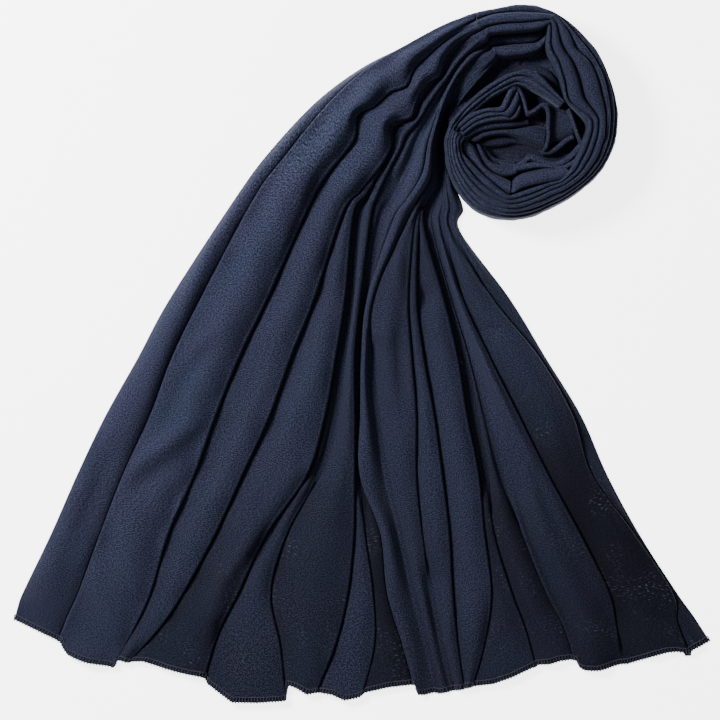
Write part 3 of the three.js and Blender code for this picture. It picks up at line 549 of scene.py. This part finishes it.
def press_crease(points, free, crease):
    """Raises or sinks the points near a crease's line."""
    path, width, rise = crease
    line = [np.array(p, float) for p in path]
    xy = points[..., :2]
    nearest = np.full(xy.shape[:-1], np.inf)
    fade = np.zeros(xy.shape[:-1])
    spans = len(line) - 1
    for k in range(spans):
        a, b = line[k], line[k + 1]
        step = b - a
        t = np.clip(((xy - a) @ step) / (step @ step), 0, 1)
        away = np.linalg.norm(xy - (a + t[..., None] * step), axis=-1)
        along = (k + t) / spans
        closer = away < nearest
        nearest = np.where(closer, away, nearest)
        fade = np.where(closer, np.sin(np.pi * np.clip(along, 0.04, 0.96)) ** 0.5, fade)
    push = rise * np.exp(-((nearest / width) ** 2)) * fade
    points[..., 2] += push * free


DRAWN_OUT = 2.4  # how much longer than wide the unevenness is


def rumple(points, free, size, height, seed):
    """Adds the small unevenness of soft cloth, drawn out along the folds."""
    offset = Vector((seed * 3.1, seed * 1.7, 0.0))  # each seed reads another part of the noise
    for r in range(points.shape[0]):
        for i in range(points.shape[1]):
            if free[r, i] > 0.05:
                x, y, _ = points[r, i]
                lean = x * 0.9 + y * 0.45
                wave = noise.noise(Vector((lean / size, y / size / DRAWN_OUT, 0.0)) + offset)
                points[r, i, 2] += height * wave * free[r, i]


def add_object(name, data):
    """Puts a mesh, a light or a camera in the scene."""
    thing = bpy.data.objects.new(name, data)
    bpy.context.collection.objects.link(thing)
    return thing


def grid_mesh(name, rows, tone):
    """A sheet through rows of points, with its cut laid out in metres as its UV map."""
    count = rows.shape[1]
    verts = (rows.reshape(-1, 3) * MM).tolist()
    faces, corners = [], []
    across = np.linalg.norm(np.diff(rows, axis=1), axis=2)
    u = np.concatenate([np.zeros((len(rows), 1)), np.cumsum(across, axis=1)], axis=1) * MM
    along = np.linalg.norm(np.diff(rows, axis=0), axis=2)
    v = np.concatenate([np.zeros((1, count)), np.cumsum(along, axis=0)], axis=0) * MM
    u = u - u[:, count // 2][:, None]
    v = np.broadcast_to(v.mean(axis=1)[:, None], v.shape)
    for r in range(rows.shape[0] - 1):
        for i in range(count - 1):
            a, b = r * count + i, r * count + i + 1
            c, d = b + count, a + count
            faces.append((a, b, c, d))
            corners += [(u[r, i], v[r, i]), (u[r, i + 1], v[r, i + 1])]
            corners += [(u[r + 1, i + 1], v[r + 1, i + 1]), (u[r + 1, i], v[r + 1, i])]
    mesh = bpy.data.meshes.new(name)
    mesh.from_pydata(verts, [], faces)
    layer = mesh.uv_layers.new(name="Cut")
    layer.data.foreach_set("uv", np.array(corners).ravel())
    lightness = mesh.attributes.new("Tone_and_shade", "FLOAT", "POINT")
    lightness.data.foreach_set("value", tone.ravel())
    mesh.polygons.foreach_set("use_smooth", [True] * len(mesh.polygons))
    return add_object(name, mesh)


def cloth_piece(name, rows, tone):
    """A sheet with the cloth's thickness."""
    piece = grid_mesh(name, rows, tone)
    wall = piece.modifiers.new("Cloth thickness", "SOLIDIFY")
    wall.thickness = CLOTH * MM
    wall.offset = 0.0
    wall.use_even_offset = False
    return piece


def settle(piece):
    """Turns the piece's modifiers into plain mesh, and keeps it off the floor."""
    depsgraph = bpy.context.evaluated_depsgraph_get()
    mesh = bpy.data.meshes.new_from_object(piece.evaluated_get(depsgraph))
    piece.modifiers.clear()
    piece.data = mesh
    for vertex in mesh.vertices:
        vertex.co.z = max(vertex.co.z, LOWEST)
    return piece


def finish_piece(piece, material, nodes):
    """Gives a piece its material, its body, and the solids that it stands for."""
    piece.data.materials.clear()
    piece.data.materials.append(material)
    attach(piece, "root")
    if nodes:
        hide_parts(*nodes)


def add_node(tree, kind, inputs, **settings):
    """A node with its settings, each of its inputs linked to a socket or set to a value."""
    node = tree.nodes.new(kind)
    for name, value in settings.items():
        setattr(node, name, value)
    for name, value in inputs.items():
        if isinstance(value, bpy.types.NodeSocket):
            tree.links.new(value, node.inputs[name])
        else:
            node.inputs[name].default_value = value
    return node


def product(tree, one, two):
    """Two numbers multiplied."""
    return add_node(tree, "ShaderNodeMath", {0: one, 1: two}, operation="MULTIPLY").outputs[0]


def blended(tree, amount, one, two, how):
    """The second colour over the first. The node's colours are its inputs 6 and 7 and its output 2."""
    inputs = {"Factor": amount, 6: one, 7: two}
    return add_node(tree, "ShaderNodeMix", inputs, data_type="RGBA", blend_type=how).outputs[2]


def new_material(name, finish):
    """A material, its node tree, and its shader with the finish's values set."""
    material = bpy.data.materials.new(name)
    material.use_nodes = True
    tree = material.node_tree
    tree.nodes.clear()
    shader = add_node(tree, "ShaderNodeBsdfPrincipled", finish)
    add_node(tree, "ShaderNodeOutputMaterial", {"Surface": shader.outputs["BSDF"]})
    return material, tree, shader


def rough_surface(tree, shader, height, strength, distance):
    """Gives the shader fine relief."""
    relief = {"Height": height, "Strength": strength, "Distance": distance}
    bump = add_node(tree, "ShaderNodeBump", relief)
    tree.links.new(bump.outputs["Normal"], shader.inputs["Normal"])


NAVY_DARK = (0.0066, 0.0078, 0.0165)
NAVY_LIGHT = (0.0225, 0.0262, 0.0510)
SLUB = (0.050, 0.056, 0.080)  # thick flecks, which show where the tone is low: where the cloth is sheer and where shade is painted
THREAD_DARK = (0.006, 0.006, 0.011)
THREAD_LIGHT = (0.044, 0.045, 0.068)
BLACK, WHITE = (0, 0, 0), (1, 1, 1)


def jersey_material():
    """Fine navy jersey, its courses lying along the cut's width, with slubs darker and lighter."""
    material, tree, shader = new_material("Navy jersey", {
        "Roughness": 0.86, "Sheen Weight": 0.06, "Sheen Roughness": 0.45,
        "Sheen Tint": (0.55, 0.62, 0.85, 1), "Specular IOR Level": 0.08})
    cut = add_node(tree, "ShaderNodeUVMap", {}, uv_map="Cut")

    def stretched(across, along, detail):
        scaled = {"Scale": (across, along, 1), "Vector": cut.outputs["UV"]}
        place = add_node(tree, "ShaderNodeMapping", scaled).outputs["Vector"]
        slub = {"Vector": place, "Scale": 1.0, "Detail": detail, "Roughness": 0.6}
        return add_node(tree, "ShaderNodeTexNoise", slub).outputs["Fac"]

    def mixed(low, high, start, stop, source):
        ramp = add_node(tree, "ShaderNodeValToRGB", {"Fac": source})
        for end, position, colour in zip(ramp.color_ramp.elements, (start, stop), (low, high)):
            end.position = position
            end.color = (*colour, 1)
        return ramp.outputs["Color"]

    streaks = stretched(300, 1900, 2.0)
    base = mixed(NAVY_DARK, NAVY_LIGHT, 0.22, 0.80, streaks)
    flecks = mixed((0.3, 0.3, 0.3), (1.8, 1.8, 1.8), 0.36, 0.66, stretched(900, 1100, 0.0))
    clouds = mixed((1.05, 0.96, 1.0), (0.95, 1.0, 1.0), 0.35, 0.65, stretched(14, 14, 1.0))
    # the tone holds the cloth's own lighter and darker places and the painted shade beside folds and in
    # the coil's lines and hollows; it is multiplied into the colour
    tone = add_node(tree, "ShaderNodeAttribute", {}, attribute_name="Tone_and_shade").outputs["Fac"]
    colour = base
    for layer in (flecks, clouds, tone):
        colour = blended(tree, 1.0, colour, layer, "MULTIPLY")

    # the slubs show where the tone is low, both where the cloth is sheer and where shade is painted
    low_tone_range = {"Value": tone, "From Min": 0.80, "From Max": 0.45}
    low_tone_share = add_node(tree, "ShaderNodeMapRange", low_tone_range).outputs["Result"]
    slubs = mixed(BLACK, WHITE, 0.66, 0.76, stretched(330, 800, 0.0))
    patches = mixed(BLACK, WHITE, 0.50, 0.75, stretched(26, 20, 1.0))
    shown = product(tree, product(tree, slubs, patches), low_tone_share)
    colour = blended(tree, shown, colour, (*SLUB, 1), "MIX")
    tree.links.new(colour, shader.inputs["Base Color"])
    rough_surface(tree, shader, streaks, 0.13, 0.0004)
    return material


def thread_material():
    """Overlock thread, a little paler than the jersey."""
    finish = {"Roughness": 0.8, "Specular IOR Level": 0.12}
    material, tree, shader = new_material("Overlock thread", finish)
    place = add_node(tree, "ShaderNodeTexCoord", {}).outputs["Object"]
    twist = add_node(tree, "ShaderNodeTexNoise", {"Vector": place, "Scale": 700}).outputs["Fac"]
    shade = add_node(tree, "ShaderNodeValToRGB", {"Fac": twist})
    for end, colour in zip(shade.color_ramp.elements, (THREAD_DARK, THREAD_LIGHT)):
        end.color = (*colour, 1)
    tree.links.new(shade.outputs["Color"], shader.inputs["Base Color"])
    rough_surface(tree, shader, twist, 0.3, 0.0002)
    return material


STITCH_SPACING = 0.0026
THREAD_RADIUS = 0.00050
STITCH_BITE = 0.0043
STITCH_RISE = 0.0012
STITCH_LEAN = 0.0007  # how far along the edge each end of a stitch lies from its middle
STITCH_SIZES = (0.88, 1.1)  # the smallest and the largest, as shares of the size


def stitch_tree(material):
    """Overlock stitches wrapped round an edge whose points hold its "Inward" and "Upward" directions."""
    tree = bpy.data.node_groups.new("Overlock stitches", "GeometryNodeTree")
    tree.interface.new_socket("Edge", in_out="INPUT", socket_type="NodeSocketGeometry")
    names = {}
    sizes = (("Spacing", "Float"), ("Thread radius", "Float"), ("Bite", "Float"), ("Seed", "Int"))
    for name, kind in sizes:
        socket = tree.interface.new_socket(name, in_out="INPUT", socket_type="NodeSocket" + kind)
        names[name] = socket.identifier
    tree.interface.new_socket("Stitches", in_out="OUTPUT", socket_type="NodeSocketGeometry")
    given = tree.nodes.new("NodeGroupInput")

    def add(kind, inputs, output, **settings):
        return add_node(tree, kind, inputs, **settings).outputs[output]

    def direction(name):
        kind = "GeometryNodeInputNamedAttribute"
        return add(kind, {"Name": name}, "Attribute", data_type="FLOAT_VECTOR")

    def point(x, y, z):
        reach = product(tree, given.outputs["Bite"], x)
        return add("ShaderNodeCombineXYZ", {"X": reach, "Y": y, "Z": z}, "Vector")

    edge = add("GeometryNodeMeshToCurve", {"Mesh": given.outputs["Edge"]}, "Curve")
    spaced = {"Curve": edge, "Length": given.outputs["Spacing"]}
    even = add("GeometryNodeResampleCurve", spaced, "Curve", mode="LENGTH")
    bend = {"Resolution": 8, "Start": point(1.0, -STITCH_LEAN, STITCH_RISE),
            "Middle": point(-1.25, 0.0, 0.0), "End": point(1.0, STITCH_LEAN, -STITCH_RISE)}
    loop = add("GeometryNodeCurveQuadraticBezier", bend, "Curve")
    thread = {"Resolution": 5, "Radius": given.outputs["Thread radius"]}
    section = add("GeometryNodeCurvePrimitiveCircle", thread, "Curve")
    bent = {"Curve": loop, "Profile Curve": section, "Fill Caps": True}
    stitch = add("GeometryNodeCurveToMesh", bent, "Mesh")

    align = "FunctionNodeAlignRotationToVector"
    facing = add(align, {"Vector": direction("Inward")}, "Rotation", axis="X")
    upright = {"Vector": direction("Upward"), "Rotation": facing}
    turned = add(align, upright, "Rotation", axis="Z", pivot_axis="X")
    least, most = STITCH_SIZES
    spread = {2: least, 3: most, "Seed": given.outputs["Seed"]}
    uneven = add("FunctionNodeRandomValue", spread, 1, data_type="FLOAT")
    placed = {"Points": even, "Instance": stitch, "Rotation": turned, "Scale": uneven}
    sewn = add("GeometryNodeInstanceOnPoints", placed, "Instances")

    vector = "ShaderNodeVectorMath"
    inset = {0: direction("Inward"), "Scale": given.outputs["Bite"]}
    raised = {0: direction("Upward"), "Scale": STITCH_RISE}
    moves = [add(vector, move, "Vector", operation="SCALE") for move in (inset, raised)]
    offset = add(vector, dict(enumerate(moves)), "Vector", operation="ADD")
    line = add("GeometryNodeSetPosition", {"Geometry": even, "Offset": offset}, "Geometry")
    chain = add("GeometryNodeCurveToMesh", {"Curve": line, "Profile Curve": section}, "Mesh")

    together = tree.nodes.new("GeometryNodeJoinGeometry")
    for part in (sewn, chain):
        tree.links.new(part, together.inputs["Geometry"])
    real = add("GeometryNodeRealizeInstances", {"Geometry": together.outputs["Geometry"]}, "Geometry")
    dressed = add("GeometryNodeSetMaterial", {"Geometry": real, "Material": material}, "Geometry")
    add_node(tree, "NodeGroupOutput", {"Stitches": dressed})
    return tree, names


def sew_overlock(points, material):
    """The hem's overlock stitches, following the cloth's first row."""
    edge = points[0] * MM
    inward = points[2] * MM - edge
    inward /= np.linalg.norm(inward, axis=1)[:, None]
    along = np.gradient(edge, axis=0)
    upward = np.cross(along, inward)
    upward /= np.maximum(np.linalg.norm(upward, axis=1), 1e-9)[:, None]
    mesh = bpy.data.meshes.new("overlock_stitches")
    mesh.from_pydata(edge.tolist(), [(k, k + 1) for k in range(len(edge) - 1)], [])
    for name, values in (("Inward", inward), ("Upward", upward)):
        mesh.attributes.new(name, "FLOAT_VECTOR", "POINT").data.foreach_set("vector", values.ravel())
    piece = add_object("overlock_stitches", mesh)
    tree, names = stitch_tree(material)
    sewing = piece.modifiers.new("Overlock", "NODES")
    sewing.node_group = tree
    sewing[names["Spacing"]] = STITCH_SPACING
    sewing[names["Thread radius"]] = THREAD_RADIUS
    sewing[names["Bite"]] = STITCH_BITE
    sewing[names["Seed"]] = SEED
    settle(piece)
    finish_piece(piece, material, [])
    return piece


def push_aside(points, nudge):
    """Shifts the cloth near one place in plan, where a fold turns sharply."""
    away = np.linalg.norm(points[..., :2] - np.array(nudge["at"]), axis=-1)
    share = np.exp(-((away / nudge["reach"]) ** 2))
    points[..., :2] += share[..., None] * np.array(nudge["push"])


def meet_coil(points, places):
    """Brings the neck's last rows to the height of the coil's first section, fold by fold."""
    section = band_section(TOP_STRETCH, TOP_HEIGHTS, 0.0, TOP_SEED)
    upper = sorted((away, z) for away, z in section if z > 20)
    outer, inner, _ = stretch_row(TOP_STRETCH, 0.0)
    way = (inner - outer) / np.linalg.norm(inner - outer)
    distance = (points[-1][:, :2] - outer) @ way
    target = np.interp(distance, [away for away, _ in upper], [z for _, z in upper])
    end = len(ROWS_TO_NEXT)
    for r, place in enumerate(places):
        share = float(smooth(place - (end - 1)))
        points[r, 1:-1, 2] = points[r, 1:-1, 2] * (1 - share) + target[1:-1] * share


def spread_cloth(material):
    """The fan and the neck: one stretch of cloth from hem to coil."""
    places = row_places()
    rows, free, tones = zip(*[sheet_row(place) for place in places])
    points, loose, tone = np.array(rows), np.array(free), np.array(tones)
    for crease in CREASES:
        press_crease(points, loose, crease)
    for sink in SINKS:
        press_crease(points, np.ones_like(loose), sink)
    for nudge in NUDGES:
        push_aside(points, nudge)
    rumple(points, loose, 22.0, 3.4, SEED)
    rumple(points, loose, 9.0, 0.9, SEED + 1)
    points[..., 2] = np.maximum(points[..., 2], FLOOR_CLEAR)
    meet_coil(points, places)
    piece = cloth_piece("spread_cloth", points, tone)
    finish_piece(piece, material, ["spread_fan", "gathered_neck"])
    return piece, points


def stretch_row(stretch, place):
    """A row across a stretch of the coil: its two ends in plan, and where its lines lie."""
    return [through(part, place) for part in zip(*stretch)]


BAND_SHARES = [0.02, 0.07, 0.16, 0.3, 0.5, 0.7, 0.84, 0.93, 0.98]  # where its points lie across a band
BAND_STEP = 1.9  # from row to row along it
OUTER_WALL = ((0.25, 0.5), (0.5, 0.6), (0.72, 0.3))  # share of its height, and how far out it bulges
WALL_END = 0.8  # the wall is straight at a stretch's ends, and uneven this far from them
CREST_WOBBLE = 1.4  # how far a band's crest rises and falls along it


def shaded_tones_across(level, shares, darker):
    """Painted shade across a band or fold: its colour made darker towards its two sides."""
    return [level * (1.06 - darker * abs(2 * share - 1) ** 4) for share in shares]


def band_section(stretch, heights, place, seed):
    """Points over the bands at one place, as (distance from the outer side, height)."""
    _, _, lines = stretch_row(stretch, place)
    section = [(0.2, FLOOR_CLEAR)]
    from_end = float(smooth(min(place, len(stretch) - 1 - place) / WALL_END))
    for share, out in OUTER_WALL:
        ripple = noise.noise(Vector((place * 1.7, share * 6, seed + 0.5)))
        section.append((0.2 - (out + 0.2 + 0.8 * ripple) * from_end, heights[0] * share))
    for n, top in enumerate(heights):
        wide = lines[n + 1] - lines[n]
        wobble = noise.noise(Vector((place * 0.9, n * 5.3, seed)))
        crest = top + CREST_WOBBLE * wobble
        gap = min(0.25, wide * 0.12)
        deep = min(CREVICE, 3 + wide * 1.6)
        for share in BAND_SHARES:
            rim = abs(2 * share - 1)
            fall = deep * rim**7 + 0.12 * min(wide, 9) * rim**2
            if n == 0 and share < 0.5:
                fall = crest * 0.2 * rim**5
            section.append((lines[n] + gap + (wide - 2 * gap) * share, crest - fall))
    section.append((lines[-1] + 0.1, heights[-1] * 0.55))
    section.append((lines[-1] - 0.2, heights[-1] * 0.35))
    section.append((lines[-1] + 0.4, POCKET_HEIGHT))
    return section


def band_tones_and_shade(heights, seed):
    """How light the cloth's colour is made at each of those points: a random tone for each band, with
    painted shade on the lower bands, down in the lines and in the pockets.
    """
    tones = [0.9] * 4
    for n, top in enumerate(heights):
        level = 1.02 + 0.3 * noise.noise(Vector((n * 2.7, seed, 0.5)))
        # painted shade: the lower the band's crest, the darker its colour
        level *= 0.5 + 0.5 * float(smooth((top - 16) / 16))
        tones += shaded_tones_across(level, BAND_SHARES, 0.5)
    return np.array(tones + [0.6] * 3)


def band_rows(stretch, heights, seed):
    """Rows of points over a stretch of the coil."""
    spots = []
    for k in range(len(stretch) - 1):
        run = max(math.dist(a, b) for a, b in zip(stretch[k][:2], stretch[k + 1][:2]))
        count = max(3, round(run / BAND_STEP))
        spots += [k + i / count for i in range(count)]
    rows = []
    for place in spots + [float(len(stretch) - 1)]:
        outer, inner, _ = stretch_row(stretch, place)
        way = (inner - outer) / np.linalg.norm(inner - outer)
        section = band_section(stretch, heights, place, seed)
        rows.append([(*(outer + way * away), z) for away, z in section])
    return np.array(rows)


def coil_bands(name, stretch, heights, material, nodes, seed):
    """One stretch of the coil as a piece."""
    rows = band_rows(stretch, heights, seed)
    tone = np.tile(band_tones_and_shade(heights, seed), (len(rows), 1))
    piece = cloth_piece(name, rows, tone)
    finish_piece(piece, material, nodes)
    return piece


FOLD_SHARES = (0.0, 0.03, 0.1, 0.22, 0.4, 0.6, 0.78, 0.9, 0.97, 1.0)
FOLD_DEPTH = 14.0  # from a fold's crest down to where its sides end
FOLD_STEP = 1.5  # from row to row along it
PAINTED_LOW_SHADE = 0.4  # painted shade: how light the cloth's colour is made down there


def fold_rows(fold):
    """Rows of points over one fold in the middle of the coil, and its colour's tone there, with shade
    painted darker where it lies lower and down its sides.
    """
    one, two, (first_top, last_top) = fold
    spans = len(one) - 1
    run = sum(math.dist(one[k], one[k + 1]) for k in range(spans))
    count = max(10, round(run / FOLD_STEP))
    rows, tones = [], []
    for r in range(count + 1):
        place = spans * r / count
        a, b = through(one, place), through(two, place)
        wide = np.linalg.norm(b - a)
        top = first_top + (last_top - first_top) * r / count
        row = [(*(a + (b - a) * 0.02), top - FOLD_DEPTH)]
        for share in FOLD_SHARES:
            rim = abs(2 * share - 1)
            fall = min(6.0, 1.5 + wide) * rim**6 + 0.08 * min(wide, 12) * rim**2
            row.append((*(a + (b - a) * share), top - fall))
        row.append((*(a + (b - a) * 0.98), top - FOLD_DEPTH))
        rows.append(row)
        # painted shade: the lower the fold's crest, the darker its colour
        level = 0.42 + 0.66 * float(smooth((top - 14) / 22))
        tones.append([PAINTED_LOW_SHADE] + shaded_tones_across(level, FOLD_SHARES, 0.45) + [PAINTED_LOW_SHADE])
    return np.array(rows), np.array(tones)


LOW_CENTRE = (136, 205)  # of the low cloth under the coil's folds
LOW_SHARES = (0.93, 0.98)  # its half width and half depth, as shares of its reach
LOW_REACH = (67, 4)  # its reach, and how much less that is at its top and more at its bottom
LOW_RINGS = 10
LOW_TURNS = 60


def coil_deep():
    """Cloth lying low under the folds, so that nothing shows the floor between them."""
    usual, shift = LOW_REACH
    rows = []
    for ring in range(LOW_RINGS + 1):
        row = []
        for n in range(LOW_TURNS + 1):
            turn = 2 * math.pi * n / LOW_TURNS
            reach = 0.02 + ring / LOW_RINGS * (usual - shift * math.cos(turn))
            x = LOW_CENTRE[0] + LOW_SHARES[0] * reach * math.sin(turn)
            y = LOW_CENTRE[1] + LOW_SHARES[1] * reach * math.cos(turn)
            z = POCKET_HEIGHT - 1 + 2.5 * noise.noise(Vector((x / 14, y / 14, 2.0)))
            row.append((x, y, z))
        rows.append(row)
    return np.array(rows)


def coil_middle(material):
    """The folds in the middle of the coil, standing on the cloth low down between them."""
    parts = [cloth_piece(f"middle_fold_{k}", *fold_rows(fold)) for k, fold in enumerate(MIDDLE_FOLDS)]
    low = coil_deep()
    # painted shade: the low cloth's colour is darker towards the middle of the hollow
    out = np.linspace(0, 1, low.shape[0])[:, None] * np.ones(low.shape[1])
    low_painted_shade = 0.45 + 0.5 * smooth((out - 0.4) / 0.3)
    parts.append(cloth_piece("middle_low", low, low_painted_shade))
    joined = join(parts, "coil_middle_folds")
    finish_piece(joined, material, ["coil_heart"])
    return joined


def join(parts, name):
    """One piece made of several."""
    merged = bmesh.new()
    for part in parts:
        merged.from_mesh(settle(part).data)
        bpy.data.objects.remove(part)
    mesh = bpy.data.meshes.new(name)
    merged.to_mesh(mesh)
    merged.free()
    return add_object(name, mesh)


FLOOR_REACH = 3.0
FLOOR_GLOW = 4.0  # the renderer holds back whites, so the pale floor gives off light of its own


def add_floor():
    """The plain pale floor that the scarf lies on."""
    mesh = bpy.data.meshes.new("floor")
    corners = [(x * FLOOR_REACH, y * FLOOR_REACH, 0) for x, y in ((-1, -1), (1, -1), (1, 1), (-1, 1))]
    mesh.from_pydata(corners, [], [(0, 1, 2, 3)])
    material, _, _ = new_material("Pale floor", {
        "Base Color": (0.93, 0.93, 0.94, 1), "Roughness": 0.9,
        "Emission Color": (*WHITE, 1), "Emission Strength": FLOOR_GLOW})
    mesh.materials.append(material)
    add_object("floor", mesh)


def add_light(name, place, size, power):
    """A round soft light aimed at the middle of the floor."""
    data = bpy.data.lights.new(name, "AREA")
    data.shape = "DISK"
    data.size = size
    data.energy = power
    lamp = add_object(name, data)
    lamp.location = place
    lamp.rotation_euler = (-Vector(place)).to_track_quat("-Z", "Y").to_euler()


def light_studio():
    """A low key light from the left, which shows the folds, and soft light from all round."""
    world = bpy.data.worlds.new("Studio")
    world.use_nodes = True
    background = world.node_tree.nodes["Background"]
    background.inputs["Color"].default_value = (*WHITE, 1)
    background.inputs["Strength"].default_value = 0.28
    bpy.context.scene.world = world
    add_light("Key", (-1.1, 0.7, 1.15), 0.5, 78)
    add_light("Fill", (0.9, -0.6, 1.7), 1.2, 6)


CLOTH_HEIGHT = 0.012  # the height of cloth that the picture is measured at
VIEW_WIDTH = 0.612  # what the picture spans there
VIEW_CENTRE = (-0.0017, -0.00255)
LENS = 170.0
SENSOR = 36.0


def add_camera():
    """The camera straight above, as in the picture."""
    data = bpy.data.cameras.new("Camera")
    data.lens = LENS
    data.sensor_width = SENSOR
    data.clip_end = 20
    camera = add_object("Camera", data)
    height = VIEW_WIDTH / 2 / (SENSOR / 2 / LENS)
    camera.location = (*VIEW_CENTRE, height + CLOTH_HEIGHT)
    bpy.context.scene.camera = camera


add_camera()
jersey = jersey_material()
cloth, cloth_points = spread_cloth(jersey)
top_bands = coil_bands("coil_top_bands", TOP_STRETCH, TOP_HEIGHTS, jersey, [], TOP_SEED)
long_bands = coil_bands("coil_long_bands", LONG_STRETCH, LONG_HEIGHTS, jersey, ["coil_outer_turn"],
                        LONG_SEED)
arch = coil_bands("coil_arch_bands", ARCH, ARCH_HEIGHTS, jersey, ["coil_inner_turn"], ARCH_SEED)
middle = coil_middle(jersey)
stitches = sew_overlock(cloth_points, thread_material())
add_floor()
light_studio()
